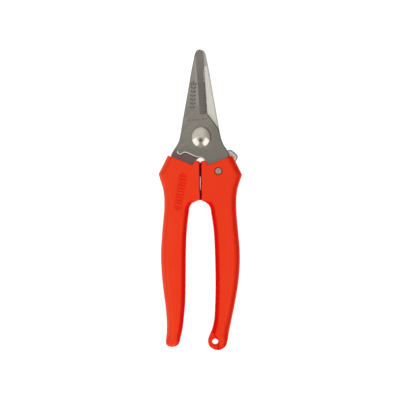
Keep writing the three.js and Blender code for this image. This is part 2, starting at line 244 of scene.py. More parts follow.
def surface(field, low, high, step, polish=3):
    """Vertices and quads of the surface where field(x, y, z) is zero, by surface nets."""
    low, high = np.array(low, float), np.array(high, float)
    count = np.ceil((high - low) / step).astype(int) + 1
    axes = [low[k] + step * np.arange(count[k]) for k in range(3)]
    values = np.empty(count, np.float32)
    for i, x in enumerate(axes[0]):
        y, z = np.meshgrid(axes[1], axes[2], indexing="ij")
        values[i] = field(np.full_like(y, x), y, z)
    inside = values < 0
    total = np.zeros(tuple(count - 1) + (3,), np.float32)
    hits = np.zeros(tuple(count - 1), np.int16)
    corner = [(i, j, k) for i in (0, 1) for j in (0, 1) for k in (0, 1)]

    def at(array, c):
        return array[tuple(slice(c[k], c[k] + count[k] - 1) for k in range(3))]

    for a in corner:
        for k in range(3):
            if a[k]:
                continue
            b = tuple(1 if m == k else a[m] for m in range(3))
            cross = at(inside, a) != at(inside, b)
            va, vb = at(values, a), at(values, b)
            t = np.where(cross, va / np.where(cross, va - vb, 1), 0)
            for m in range(3):
                total[..., m] += np.where(cross, a[m] + (t if m == k else 0), 0)
            hits += cross
    active = hits > 0
    index = np.full(active.shape, -1, np.int64)
    index[active] = np.arange(active.sum())
    cell = np.argwhere(active)
    points = low + step * (cell + total[active] / hits[active][:, None])
    quads = []
    for k in range(3):
        m, n = (k + 1) % 3, (k + 2) % 3
        a = [slice(None)] * 3
        b = [slice(None)] * 3
        a[k], b[k] = slice(0, -1), slice(1, None)
        change = inside[tuple(a)] != inside[tuple(b)]
        where = np.argwhere(change)
        wm, wn = where[:, m], where[:, n]
        where = where[(wm > 0) & (wn > 0) & (wm < count[m] - 1) & (wn < count[n] - 1)]
        ring = []
        for dm, dn in ((-1, -1), (0, -1), (0, 0), (-1, 0)):
            c = where.copy()
            c[:, m] += dm
            c[:, n] += dn
            ring.append(index[c[:, 0], c[:, 1], c[:, 2]])
        ring = np.stack(ring, 1)
        out = inside[where[:, 0], where[:, 1], where[:, 2]]
        quads.append(np.where(out[:, None], ring, ring[:, ::-1]))
    quads = np.vstack(quads)
    # the vertices then step down the field's slope, measured over 2h, onto the surface
    h = 0.02
    for _ in range(polish):
        x, y, z = points.T
        f = field(x, y, z)
        g = np.stack(
            [
                field(x + h, y, z) - field(x - h, y, z),
                field(x, y + h, z) - field(x, y - h, z),
                field(x, y, z + h) - field(x, y, z - h),
            ],
            1,
        ) / (2 * h)
        move = -f[:, None] * g / np.maximum((g * g).sum(1), 0.05)[:, None]
        length = np.linalg.norm(move, axis=1)
        points = points + move * np.minimum(1, 0.5 * step / np.maximum(length, 1e-9))[:, None]
    return points, quads


# ---------------------------------------------------------------- meshes
def mesh_piece(name, points, faces, smooth=True):
    """An object from points in millimetres and a list of faces, or an array of quads."""
    mesh = bpy.data.meshes.new(name)
    points = np.asarray(points, np.float32) * MM
    if isinstance(faces, np.ndarray):
        mesh.vertices.add(len(points))
        mesh.vertices.foreach_set("co", points.ravel())
        mesh.loops.add(faces.size)
        mesh.loops.foreach_set("vertex_index", faces.ravel().astype(np.int32))
        mesh.polygons.add(len(faces))
        starts = np.arange(0, faces.size, faces.shape[1], dtype=np.int32)
        mesh.polygons.foreach_set("loop_start", starts)
        mesh.update(calc_edges=True)
    else:
        mesh.from_pydata([tuple(p) for p in points.tolist()], [], faces)
    mesh.validate()
    mesh.polygons.foreach_set("use_smooth", [smooth] * len(mesh.polygons))
    mesh.update()
    piece = bpy.data.objects.new(name, mesh)
    bpy.context.scene.collection.objects.link(piece)
    return piece


def inset(outline, by):
    """A counter-clockwise outline moved inwards by `by` along the bisector at each corner."""
    p = np.asarray(outline, float)
    ahead = np.roll(p, -1, axis=0) - p
    ahead /= np.linalg.norm(ahead, axis=1)[:, None]
    inward = np.stack([-ahead[:, 1], ahead[:, 0]], 1)
    bisector = inward + np.roll(inward, 1, axis=0)
    bisector /= np.linalg.norm(bisector, axis=1)[:, None]
    return p + bisector * by / np.maximum((bisector * inward).sum(1), 0.6)[:, None]


def bands(n, rings):
    """The quads between each ring of `n` points and the next."""
    faces = []
    for k in range(rings - 1):
        a, b = k * n, (k + 1) * n
        faces += [[a + i, a + (i + 1) % n, b + (i + 1) % n, b + i] for i in range(n)]
    return faces


def extruded(name, outline, z0, z1, rim=0.0):
    """A flat outline raised from z0 to z1, the edge of its upper face rounded by `rim`."""
    area = sum(a[0] * b[1] - b[0] * a[1] for a, b in zip(outline, list(outline[1:]) + [outline[0]]))
    ring = np.asarray(outline if area > 0 else list(outline)[::-1], float)
    n = len(ring)
    levels = [(0.0, z0), (0.0, z1 - rim)]
    if rim:
        levels += [(0.06 * rim, z1 - 0.8 * rim), (0.24 * rim, z1 - 0.55 * rim), (1.2 * rim, z1)]
    points = [(x, y, z) for by, z in levels for x, y in inset(ring, by)]
    faces = [list(range(n))[::-1], list(range(len(points) - n, len(points)))]
    return mesh_piece(name, points, faces + bands(n, len(levels)), smooth=False)


def turned(name, profile, at, sides=96):
    """A solid of revolution about the upright line at `at`, where its profile starts and ends."""
    points, faces = [(at[0], at[1], profile[0][1]), (at[0], at[1], profile[-1][1])], []
    rings = profile[1:-1]
    around = [(math.cos(a), math.sin(a)) for a in (2 * math.pi / sides * i for i in range(sides))]
    for r, z in rings:
        points += [(at[0] + r * c, at[1] + r * s, z) for c, s in around]
    for i in range(sides):
        j = (i + 1) % sides
        faces.append([0, 2 + j, 2 + i])
        last = 2 + (len(rings) - 1) * sides
        faces.append([1, last + i, last + j])
        for k in range(len(rings) - 1):
            a = 2 + k * sides
            faces.append([a + i, a + j, a + sides + j, a + sides + i])
    return mesh_piece(name, points, faces)


def washer_piece(name, outer, inner, z0, z1, at, sides=96, ease=0.12):
    ring = [(inner, z0), (outer - ease, z0), (outer, z0 + ease)]
    ring += [(outer, z1 - ease), (outer - ease, z1), (inner, z1)]
    points, faces = [], []
    for i in range(sides):
        c, s = math.cos(2 * math.pi * i / sides), math.sin(2 * math.pi * i / sides)
        points += [(at[0] + r * c, at[1] + r * s, z) for r, z in ring]
    n = len(ring)
    for i in range(sides):
        a, b = i * n, ((i + 1) % sides) * n
        faces += [[a + k, b + k, b + (k + 1) % n, a + (k + 1) % n] for k in range(n)]
    return mesh_piece(name, points, faces)


def swept(name, path, radius, sides=12):
    """A round wire along a path, with its ends closed."""
    path = np.asarray(path, float)
    along = np.gradient(path, axis=0)
    along /= np.linalg.norm(along, axis=1)[:, None]
    side = np.cross(along, [1.0, 0, 0])
    side /= np.linalg.norm(side, axis=1)[:, None]
    up = np.cross(along, side)
    angle = 2 * np.pi * np.arange(sides) / sides
    out = np.cos(angle)[None, :, None] * side[:, None] + np.sin(angle)[None, :, None] * up[:, None]
    rings = path[:, None] + radius * out
    last = (len(path) - 1) * sides
    faces = bands(sides, len(path)) + [list(range(sides))[::-1], [last + i for i in range(sides)]]
    return mesh_piece(name, rings.reshape(-1, 3), faces)


def cut(piece, cutter):
    modifier = piece.modifiers.new("cut", "BOOLEAN")
    modifier.operation = "DIFFERENCE"
    modifier.solver = "EXACT"
    modifier.object = cutter
    bake(piece)
    bpy.data.objects.remove(cutter)


def bake(piece):
    """Puts the result of the piece's modifiers into its mesh."""
    bpy.context.view_layer.update()
    graph = bpy.context.evaluated_depsgraph_get()
    mesh = bpy.data.meshes.new_from_object(piece.evaluated_get(graph))
    piece.modifiers.clear()
    piece.data = mesh


def eased(piece, width, segments=2, angle=25):
    """Rounds the edges that turn by more than `angle`."""
    modifier = piece.modifiers.new("ease", "BEVEL")
    modifier.width = width * MM
    modifier.segments = segments
    modifier.limit_method = "ANGLE"
    modifier.angle_limit = math.radians(angle)
    modifier.use_clamp_overlap = True
    bake(piece)


def sharpen(piece, angle=30):
    """Smooth shading, but sharp where faces turn by more than `angle` or the material changes."""
    mesh = piece.data
    mesh.polygons.foreach_set("use_smooth", [True] * len(mesh.polygons))
    mesh.set_sharp_from_angle(angle=math.radians(angle))
    bm = bmesh.new()
    bm.from_mesh(mesh)
    for edge in bm.edges:
        if len({face.material_index for face in edge.link_faces}) > 1:
            edge.smooth = False
    bm.to_mesh(mesh)
    bm.free()


def level(piece):
    """Keeps the big flat faces flat to the eye, leaving their eased edges to take up the turn."""
    modifier = piece.modifiers.new("level", "WEIGHTED_NORMAL")
    modifier.mode = "FACE_AREA"
    modifier.weight = 100
    modifier.keep_sharp = True
    bake(piece)


# ---------------------------------------------------------------- materials
class Nodes:
    """A short way to build the nodes of a material, or of the world."""

    def __init__(self, name, world=False):
        self.material = (bpy.data.worlds if world else bpy.data.materials).new(name)
        self.material.use_nodes = True
        self.tree = self.material.node_tree
        self.shader = self.tree.nodes["Background" if world else "Principled BSDF"]
        self.place = self.add("ShaderNodeTexCoord").outputs["Generated" if world else "Object"]

    def add(self, kind, **values):
        node = self.tree.nodes.new(kind)
        for key, value in values.items():
            if key in node.inputs:
                self.feed(node.inputs[key], value)
            else:
                setattr(node, key, value)
        return node

    def feed(self, socket, value):
        if isinstance(value, bpy.types.NodeSocket):
            self.tree.links.new(value, socket)
        else:
            socket.default_value = value

    def put(self, name, value):
        """Feeds one of the shader's own inputs."""
        self.feed(self.shader.inputs[name], value)

    def scaled(self, x, y, z, turn=0.0):
        """The place turned about Z, then stretched."""
        kind = "ShaderNodeMapping"
        node = self.add(kind, vector_type="TEXTURE", Vector=self.place, Rotation=(0, 0, turn))
        node = self.add(kind, Vector=node.outputs["Vector"], Scale=(x, y, z))
        return node.outputs["Vector"]

    def noise(self, scale, detail=4.0, roughness=0.55, vector=None):
        values = {"Scale": scale, "Detail": detail, "Roughness": roughness}
        return self.add("ShaderNodeTexNoise", Vector=vector or self.place, **values).outputs["Fac"]

    def math(self, operation, a, b=0.0, clamp=False):
        node = self.add("ShaderNodeMath", operation=operation, use_clamp=clamp)
        for socket, value in zip(node.inputs, (a, b)):
            self.feed(socket, value)
        return node.outputs[0]

    def span(self, value, low, high, to_low=0.0, to_high=1.0):
        node = self.add("ShaderNodeMapRange", interpolation_type="SMOOTHSTEP")
        keys = ("Value", "From Min", "From Max", "To Min", "To Max")
        for key, v in zip(keys, (value, low, high, to_low, to_high)):
            self.feed(node.inputs[key], v)
        return node.outputs["Result"]

    def mix(self, factor, a, b):
        node = self.add("ShaderNodeMix", data_type="RGBA")
        # a Mix node has several sockets called A, B and Result; these are the ones for colours
        for socket, value in ((0, factor), (6, a), (7, b)):
            self.feed(node.inputs[socket], value)
        return node.outputs[2]

    def xyz(self):
        return self.add("ShaderNodeSeparateXYZ", Vector=self.place).outputs

    def bump(self, height, distance, strength):
        node = self.add("ShaderNodeBump", Strength=strength, Distance=distance, Height=height)
        self.put("Normal", node.outputs["Normal"])


def grip_material():
    """Moulded plastic: red-orange, a deeper red painted as shade where its surface falls away below
    the faces, most round the finger gap, and paler round the outside as a painted sheen.
    """
    n = Nodes("grip_plastic")
    x, y, z = n.xyz()
    off = n.math("ABSOLUTE", n.math("SUBTRACT", z, MID_Z * MM))
    right = n.math("GREATER_THAN", x, 0.0)
    # below the faces the red turns deeper: painted shade, which falls off faster on the right grip
    steep = n.math("ADD", 8.5, n.math("MULTIPLY", right, 3.5))
    raised = n.math("POWER", n.math("DIVIDE", off, MID_Z * MM, clamp=True), steep)
    # the thin lug at the end of the right grip, though set down, takes mostly the face colour
    # instead of the painted shade
    lug = n.math("MULTIPLY", n.span(y, -0.0815, -0.0835), right)
    level = n.math("ABSOLUTE", n.math("SUBTRACT", off, 0.0029))
    lug = n.math("MULTIPLY", lug, n.span(level, 0.0002, 0.0006, 0.6, 0.0))
    raised = n.math("MAXIMUM", raised, lug)
    outer = n.span(n.math("ABSOLUTE", x), 0.015, 0.017)
    # round the outside the falling edge is painted paler, a painted sheen, set lower on the right
    # grip
    sheen_height = n.math("ADD", off, n.math("MULTIPLY", right, 0.0007))
    painted_sheen = n.math("MULTIPLY", outer, n.span(sheen_height, 0.0060, 0.0048))
    flecks = n.noise(900.0, 2.0)
    clouds = n.span(n.noise(55.0, 3.0), 0.35, 0.65, 0.88, 1.0)
    # the deeper red is painted shade, darker again on the right grip, the side away from the light
    deep = n.mix(right, (0.785, 0.0008, 0.0001, 1), (0.705, 0.0006, 0.0001, 1))
    base = n.mix(n.math("MULTIPLY", raised, clouds), deep, (0.890, 0.0240, 0.0078, 1))
    base = n.mix(n.math("MULTIPLY", painted_sheen, 0.72), base, (0.760, 0.0820, 0.0330, 1))
    # the upright outer walls are as light as the faces
    wall = n.math("MULTIPLY", outer, n.span(off, 0.0048, 0.0036))
    base = n.mix(wall, base, (0.810, 0.0500, 0.0180, 1))
    colour = n.mix(n.span(flecks, 0.55, 0.8, 0.0, 0.3), base, (0.66, 0.0125, 0.0055, 1))
    n.put("Base Color", colour)
    rough = n.span(n.noise(160.0, 4.0), 0.3, 0.7, 0.38, 0.48)
    rough = n.math("ADD", rough, n.span(flecks, 0.4, 0.7, 0.0, 0.05))
    n.put("Roughness", rough)
    n.bump(n.noise(2600.0, 2.0), 0.00003, 0.30)
    n.put("IOR", 1.45)
    # worn matt where the fingers go through, glossier round the outside
    side = n.span(outer, 0.0, 1.0, 0.04, n.math("SUBTRACT", 0.46, n.math("MULTIPLY", right, 0.26)))
    gloss = n.math("ADD", side, n.math("MULTIPLY", raised, n.math("SUBTRACT", 0.60, side)))
    n.put("Specular IOR Level", gloss)
    n.put("Specular Tint", (1.0, 0.90, 0.28, 1))
    return n.material


def steel_material(name, front):
    """Cold-rolled stainless, brushed along the blade and aslant, brighter on its inner face."""
    n = Nodes(name)
    x, y, z = n.xyz()
    fine = n.noise(1.0, 3.0, 0.6, n.scaled(7000, 500, 3000))
    stain = n.noise(70.0, 4.0)
    flat = n.mix(n.span(fine, 0.35, 0.65), (0.258, 0.234, 0.200, 1), (0.298, 0.273, 0.235, 1))
    flat = n.mix(n.span(stain, 0.4, 0.7, 0.0, 0.6), flat, (0.236, 0.216, 0.181, 1))
    sweep = n.noise(1.0, 2.0, 0.5, n.scaled(900, 110, 300, -0.8))
    flat = n.mix(n.span(sweep, 0.45, 0.75, 0.0, 0.45), flat, (0.335, 0.309, 0.268, 1))
    inner = n.mix(n.span(fine, 0.3, 0.7), (0.65, 0.63, 0.56, 1), (0.79, 0.77, 0.69, 1))
    dull = n.mix(n.span(fine, 0.3, 0.7), (0.37, 0.365, 0.34, 1), (0.48, 0.47, 0.44, 1))
    if front:
        faces_in = n.math("LESS_THAN", z, (BLADE_Z + 0.05) * MM)
        spine = n.span(x, -0.0022, -0.0030)
    else:
        faces_in = n.math("GREATER_THAN", z, (THICKNESS - BLADE_Z - 0.2) * MM)
        spine = n.math("ADD", x, n.math("MULTIPLY", y, 0.178))
        spine = n.span(spine, 0.0189, 0.0194, 0.0, 0.7)
    ground = n.math("MULTIPLY", faces_in, n.span(y, 0.0435, 0.0450))
    inner = n.mix(n.math("MAXIMUM", n.span(y, 0.0835, 0.0855), spine), inner, dull)
    # lighter beside the ground edge as a painted highlight, and darker right of and below the pivot
    # as painted shade
    beside = n.math("ADD", x, n.math("MULTIPLY", y, 0.07))
    bevel_highlight = n.math("MULTIPLY", n.span(beside, 0.0010, 0.0026, 0.45, 1.0), n.span(y, 0.056, 0.066))
    flat = n.mix(bevel_highlight, flat, (0.352, 0.330, 0.290, 1))
    # painted shade right of the pivot and low down, where the blades and grips shade the steel
    painted_shade = n.math("MULTIPLY", n.span(x, 0.002, 0.010), n.span(y, 0.052, 0.045))
    painted_shade = n.math("MAXIMUM", painted_shade, n.span(y, 0.0345, 0.0310))
    flat = n.mix(painted_shade, flat, (0.232, 0.214, 0.182, 1))
    if front:
        # the rim is painted darkest on the right as a line of shade, darker at the tip, near the
        # faces' colour on the left, and white below the hook as a painted highlight
        top = BLADE_Z + BLADE_THICKNESS
        rim = n.math("LESS_THAN", z, (top - 0.02) * MM)
        rim = n.math("MULTIPLY", rim, n.math("GREATER_THAN", z, (top - RIM) * MM))
        rim_highlight = n.math("MULTIPLY", n.span(y, 0.0312, 0.0302), n.math("LESS_THAN", x, 0.004))
        rim_shade = n.span(x, -0.001, 0.006)
        rim_shade = n.mix(rim_shade, (0.110, 0.103, 0.094, 1), (0.050, 0.047, 0.043, 1))
        left_rim = n.math("MULTIPLY", n.span(x, -0.001, -0.003), n.span(y, 0.089, 0.085))
        rim_shade = n.mix(left_rim, rim_shade, (0.250, 0.232, 0.200, 1))
        # a painted shadow beside the rivet's head, on its right
        round_x = n.math("ABSOLUTE", n.math("SUBTRACT", x, 0.0003))
        round_y = n.math("ABSOLUTE", n.math("MULTIPLY", n.math("SUBTRACT", y, 0.0395), 0.926))
        away = n.math("ADD", n.math("POWER", round_x, 2.0), n.math("POWER", round_y, 2.0))
        rivet_shadow = n.span(n.math("SQRT", away), 0.0070, 0.0061)
        rivet_shadow = n.math("MULTIPLY", n.span(x, 0.001, 0.0045, 0.25, 0.9), rivet_shadow)
        rivet_shadow = n.math("MULTIPLY", rivet_shadow, n.span(y, 0.0345, 0.038))
        flat = n.mix(rivet_shadow, flat, (0.085, 0.078, 0.068, 1))
        flat = n.mix(rim, flat, n.mix(rim_highlight, rim_shade, (0.95, 0.91, 0.88, 1)))
        n.put("Metallic", n.math("SUBTRACT", 1.0, n.math("MULTIPLY", rim, rim_highlight)))
    else:
        # low on the rear blade, under the front blade's edge, painted shade with a painted reddish
        # reflection of the grips
        flat = n.mix(n.span(y, 0.033, 0.029), flat, (0.195, 0.134, 0.124, 1))
        n.put("Metallic", 1.0)
    n.put("Base Color", n.mix(ground, flat, inner))
    smooth = n.span(fine, 0.3, 0.7, 0.30, 0.40)
    n.put("Roughness", n.math("ADD", smooth, n.math("MULTIPLY", ground, 0.15)))
    n.bump(fine, 0.00002, 0.2)
    return n.material


def ground_material(name):
    """The wide ground edge: fine grinding marks across it, darker than the rolled face."""
    n = Nodes(name)
    marks = n.noise(1.0, 3.0, 0.6, n.scaled(500, 7000, 500))
    colour = n.mix(n.span(marks, 0.3, 0.7), (0.228, 0.207, 0.183, 1), (0.302, 0.277, 0.245, 1))
    worn = n.span(n.xyz()[1], 0.068, 0.094, 0.0, 0.70)
    n.put("Base Color", n.mix(worn, colour, (0.400, 0.370, 0.330, 1)))
    n.put("Metallic", 1.0)
    n.put("Roughness", n.span(marks, 0.3, 0.7, 0.30, 0.40))
    n.bump(marks, 0.00002, 0.2)
    return n.material


def polished_material(name, dark, light, low, high, grain_scale, brushed=1.0):
    """Bright metal: one grain takes its colour from dark to light, its roughness low to high."""
    n = Nodes(name)
    marks = n.noise(grain_scale, 3.0, vector=n.scaled(1.0, brushed, 1.0))
    n.put("Base Color", n.mix(n.span(marks, 0.35, 0.65), dark, light))
    n.put("Metallic", 1.0)
    n.put("Roughness", n.span(marks, 0.3, 0.7, low, high))
    n.bump(n.noise(grain_scale * 2, 3.0), 0.00002, 0.2)
    return n.material


def plated_material():
    """The catch: zinc plate, light on its flat and grey-green where it folds down, darkened there
    as painted shade.
    """
    n = Nodes("catch_plate")
    z = n.xyz()[2]
    marks = n.noise(900.0, 3.0)
    flat = n.mix(n.span(marks, 0.3, 0.7), (0.53, 0.52, 0.47, 1), (0.69, 0.68, 0.62, 1))
    # the folded-down edge is painted darker, as shade where it turns away from the light
    fold_shade = n.mix(n.span(marks, 0.3, 0.7), (0.18, 0.21, 0.20, 1), (0.28, 0.31, 0.30, 1))
    top = (BLADE_Z - LEVER_GAP) * MM
    n.put("Base Color", n.mix(n.span(z, top - 0.0004, top - 0.00006), fold_shade, flat))
    n.put("Metallic", 1.0)
    n.put("Roughness", n.span(marks, 0.3, 0.7, 0.34, 0.46))
    n.bump(n.noise(1800.0, 3.0), 0.00002, 0.2)
    return n.material


def stamp_material():
    """The bottoms of shallow stampings, dull and dark."""
    n = Nodes("stamping")
    colour = n.mix(n.noise(1500.0), (0.13, 0.120, 0.107, 1), (0.22, 0.205, 0.183, 1))
    n.put("Base Color", colour)
    n.put("Metallic", 1.0)
    n.put("Roughness", n.span(n.noise(900.0), 0.3, 0.7, 0.5, 0.65))
    return n.material


# ---------------------------------------------------------------- grips
LUG_RECESS = [
    (7, -82.4), (9.1, -84), (10.7, -86.1), (11.8, -88.6), (12.2, -90.8), (12.1, -93), (11.5, -96),
]
# how far the lug for the hanging hole is set down on either face, and how much that deepens
LUG_SINK = 3.6
LUG_SLOPE = 0.26
HANG_RADIUS = 1.95
POCKET_RADIUS = 3.1
POCKET_REACH = 6.8
# the seat of the catch rivet's ends: its radius and depth
RIVET_SEAT = (2.4, 1.5)
# the hidden slot the catch swings in: its radius round the pin, its floor and its mouth
CATCH_SWEEP = 5.6
CATCH_SLOT_Z = 3.3
CATCH_OPENING = [(7.2, 21.5), (13.6, 13), (25, 18.3), (30, 18.3), (30, 34), (7.2, 34)]
PANEL = ((-10.3, 17.5), (-14.4, -6.5))
PANEL_RADIUS = 2.8
PANEL_DEPTH = 0.55
RIB_PITCH = 1.9
RIB_REACH = 1.5
RIB_RADIUS = 0.42
# half the width of the slot between the heads, up its length
SLOT_Y = [-0.35, 5.2, 8, 11, 14.4, 24.3]
SLOT_X = [0.02, 0.02, 0.08, 0.13, 0.09, 0.16]


def grip_field(side):
    sign = -1 if side == "left" else 1
    whole, flanks = Outline(grip_outline(side)), Outline(flank_outline(side))
    inner = np.array([(6.8, -4.6)] + INNER[side] + END[side][:1])[::-1]
    outer = np.array(OUTER[side] + WAIST)
    recess = Outline(list(catmull(LUG_RECESS, 5)) + [(10, -99), (0, -99), (0, -82)], margin=12)
    opening = Outline(CATCH_OPENING, margin=12)
    panel_top, panel_end = np.array(PANEL[0]), np.array(PANEL[1])
    run = panel_end - panel_top
    length = np.linalg.norm(run)
    run = run / length
    across = np.array([-run[1], run[0]])

    def field(x, y, z):
        u = x * sign
        d, e = whole(u, y) - 0.2 * smoothstep(0.6, 3, u), flanks(u, y) - 0.2 * smoothstep(0.6, 3, u)
        middle = np.interp(y, inner[:, 1], inner[:, 0]) + np.interp(y, outer[:, 1], outer[:, 0])
        middle /= 2
        outside = smoothstep(-1.5, 1.5, u - middle)
        spread = smoothstep(0.6, 7.5, u) * (1 - 0.35 * smoothstep(-84, -90, y))
        wide = 0.9 + (2.9 + 1.2 * outside) * spread
        deep = 0.8 + (3.2 - 0.8 * outside) * spread
        half = MID_Z - 0.12 * smoothstep(-6.5, -0.5, e) * spread
        body = eased_plate(e, z, half, wide, deep, 1.55 + 0.1 * outside)
        f = both(eased_plate(d, z, MID_Z, 0.7, 0.6), body, 0.35)
        # the walls of the slot lean back from their middle, where the halves of the mould met
        draft = 0.7 * smoothstep(1.5, 6.5, np.abs(z - MID_Z)) * smoothstep(-1.5, 1.5, y)
        # at its lower end the slot also runs askew, so that nothing shows through it
        askew = sign * 0.3 * (z - MID_Z) / MID_Z * smoothstep(6.6, 4.6, y)
        f = np.maximum(f, draft - u + askew + np.interp(y, SLOT_Y, SLOT_X))
        pocket = np.maximum(np.hypot(y - SPRING_Y, z - MID_Z) - POCKET_RADIUS, u - POCKET_REACH)
        f = without(f, pocket, 0.25)
        if side == "right":
            pin = np.hypot(u - CATCH_PIN[0], y - CATCH_PIN[1])
            end = np.minimum(z, THICKNESS - z)
            f = without(f, np.maximum(pin - RIVET_SEAT[0], end - RIVET_SEAT[1]), 0.3)
            slot = np.minimum(pin - CATCH_SWEEP, opening(u, y))
            f = without(f, np.maximum(slot, slab(z, CATCH_SLOT_Z, BLADE_Z)), 0.2)
            hollow = recess(u, y) + LUG_SLOPE * np.clip(end, 0, LUG_SINK)
            f = without(f, np.maximum(hollow, end - LUG_SINK), 0.15)
            f = without(f, np.hypot(u - HANG_HOLE[0], y - HANG_HOLE[1]) - HANG_RADIUS, 0.5)
        else:
            s = (x - panel_top[0]) * run[0] + (y - panel_top[1]) * run[1]
            t = (x - panel_top[0]) * across[0] + (y - panel_top[1]) * across[1]
            away = np.hypot(s - np.clip(s, PANEL_RADIUS, length - PANEL_RADIUS), t)
            sunk = smoothstep(PANEL_RADIUS + 0.7, PANEL_RADIUS - 1.0, away)
            f = both(f, z - (THICKNESS - PANEL_DEPTH * sunk), 0.1)
            row = (s - length / 2) / RIB_PITCH - 0.5
            near = (row - np.round(row)) * RIB_PITCH
            odd = np.abs(np.round(row)) % 2
            reach = np.abs(t) - RIB_REACH
            reach = np.where(odd > 0, np.maximum(reach, 0.55 - np.abs(t)), reach)
            rib = np.hypot(near, np.maximum(reach, 0))
            rib = np.hypot(rib, z - (THICKNESS - PANEL_DEPTH)) - RIB_RADIUS
            rib = np.maximum(rib, np.abs(s - length / 2) - (length / 2 - PANEL_RADIUS + 0.4))
            f = either(f, rib, 0.15)
            # a lip low down on this grip covers the slot from behind
            lip = np.maximum(slab(x, -2, 0.36), np.maximum(slab(y, 14.9, 23.7), slab(z, 1.4, 2.6)))
            f = either(f, lip, 0.15)
        return both(f, u - WIDTH / 2 + 0.03, 0.05)

    return field


def grip(side):
    low, high = (-0.8, 27.2) if side == "right" else (-27.2, 0.8)
    step = 0.33
    points, quads = surface(grip_field(side), (low, -96, -0.8), (high, 28.8, THICKNESS + 0.8), step)
    piece = mesh_piece(f"{side}_grip_moulding", points, quads)
    piece.data.materials.append(GRIP)
    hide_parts(f"{side}_grip")
    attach(piece, f"{side}_half")
    return piece


# ---------------------------------------------------------------- blades
FIRST_GROOVE = 1.6
GROOVE_PITCH = 1.3
# a blade's material slots
STEEL_FACE, GROUND_FACE, STAMP_FACE, NOTCH_FACE = range(4)
# the foot and the head of the sprig, half the width of its stem and the length and width of a leaf
SPRIG = ((-5.15, 56.4), (-4.3, 71.3))
LEAF_PAIRS = 6
STEM = 0.14
LEAF = (2.1, 1.15)
STAMP_DEPTH = 0.14


def blade_outline():
    start = BLADE.index((4.2, 21.5))
    toe = BLADE.index((10.2, 2))
    end = BLADE.index((20, -46))
    shoulder = BLADE.index((16.8, 25.6))
    ricasso = BLADE.index((11.85, 44.2))
    parts = [
        [HEEL],
        catmull(BLADE[1 : start + 1], 4),
        BLADE[start + 1 : toe],
        catmull(BLADE[toe:end], 4),
        catmull(BLADE[end:shoulder], 4),
        [BLADE[shoulder]],
        catmull(BLADE[shoulder + 1 : ricasso + 1], 4),
        BLADE[ricasso + 1 :],
    ]
    return [tuple(map(float, p)) for part in parts for p in part]


def edge_frame():
    """The heel, and the directions along the ground edge, out from it and up."""
    heel, toe = (Vector((*p, BLADE_Z)) for p in (HEEL, TOE))
    up = Vector((0, 0, 1))
    along = (toe - heel).normalized()
    return heel, along, along.cross(up), up


def prism(sections):
    """A closed solid through sections with the same number of corners each."""
    n = len(sections[0])
    points = [tuple(p) for section in sections for p in section]
    faces = [list(range(n))[::-1], [len(points) - n + i for i in range(n)]]
    return points, faces + bands(n, len(sections))


def cutter_piece(solids):
    """One cutter made of several closed solids."""
    points, faces = [], []
    for p, f in solids:
        faces += [[i + len(points) for i in face] for face in f]
        points += p
    piece = mesh_piece("cutter", points, faces, smooth=False)
    bm = bmesh.new()
    bm.from_mesh(piece.data)
    bmesh.ops.recalc_face_normals(bm, faces=bm.faces)
    bm.to_mesh(piece.data)
    bm.free()
    return piece


def blade(name, front):
    piece = extruded(name, blade_outline(), BLADE_Z, BLADE_Z + BLADE_THICKNESS, RIM)
    heel, along, across, up = edge_frame()
    length = (TIP_Y - HEEL[1]) + 5

    def bevel_point(s, t, lift=0.0):
        """A point on the ground face: s along the edge from the heel, t up from the edge."""
        slope = (BLADE_THICKNESS - EDGE_LAND) / BEVEL_WIDTH
        return heel + along * s - across * t + up * (EDGE_LAND + slope * t + lift)

    back = -BEVEL_WIDTH - 0.6
    wedge = [(2.0, EDGE_LAND), (2.0, 4.0), (back, 4.0), (back, BLADE_THICKNESS + 0.28)]
    wedge += [(0.0, EDGE_LAND)]
    sections = [[heel + along * s + across * a + up * b for a, b in wedge] for s in (0.0, length)]
    cut(piece, cutter_piece([prism(sections)]))
    grooves = []
    s = FIRST_GROOVE
    while s < NOTCHES[1]:
        # long grooves from the heel on, short ones further up, whose near-white steel is a painted
        # glint
        depth, reach = (0.2, 2.6) if s < NOTCHES[0] else (0.24, 1.4)
        low = ((-0.36, 0.1), (0, -depth), (0.36, 0.1))
        low = [bevel_point(s + d, -0.4, lift) for d, lift in low]
        high = ((-0.34, 0.12), (0, 0.02), (0.34, 0.12))
        high = [bevel_point(s + d, reach, lift) for d, lift in high]
        grooves.append(prism([low, high]))
        s += GROOVE_PITCH
    cut(piece, cutter_piece(grooves))
    bore = [(0, 0), (PIVOT_BORE, 0), (PIVOT_BORE, THICKNESS), (0, THICKNESS)]
    cut(piece, turned("hole", bore, PIVOT, 64))
    if front:
        cut(piece, cutter_piece(stampings()))
    piece.data.materials.clear()
    for material in (steel_material(f"{name}_steel", front), GROUND, STAMP, NOTCH_GLINT):
        piece.data.materials.append(material)
    mark_faces(piece)
    eased(piece, 0.12, 2, 50)
    sharpen(piece, 40)
    level(piece)
    if not front:
        mesh = piece.data
        co = np.empty(len(mesh.vertices) * 3, np.float32)
        mesh.vertices.foreach_get("co", co)
        co = co.reshape(-1, 3)
        co[:, 0] *= -1
        co[:, 2] = THICKNESS * MM - co[:, 2]
        mesh.vertices.foreach_set("co", co.ravel())
        mesh.update()
    body = "right_half" if front else "left_half"
    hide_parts("front_blade" if front else "rear_blade")
    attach(piece, body)
    return piece


def leaf(x, y, angle, long, wide):
    """The outline of a leaf-shaped punch mark."""
    c, s = math.cos(angle), math.sin(angle)
    shape = [(0, 0), (0.35, 0.5), (0.7, 0.38), (1, 0), (0.7, -0.38), (0.35, -0.5)]
    return [(x + c * u * long - s * v * wide, y + s * u * long + c * v * wide) for u, v in shape]


def oblong(x0, x1, y0, y1):
    return [(x0, y0), (x1, y0), (x1, y1), (x0, y1)]


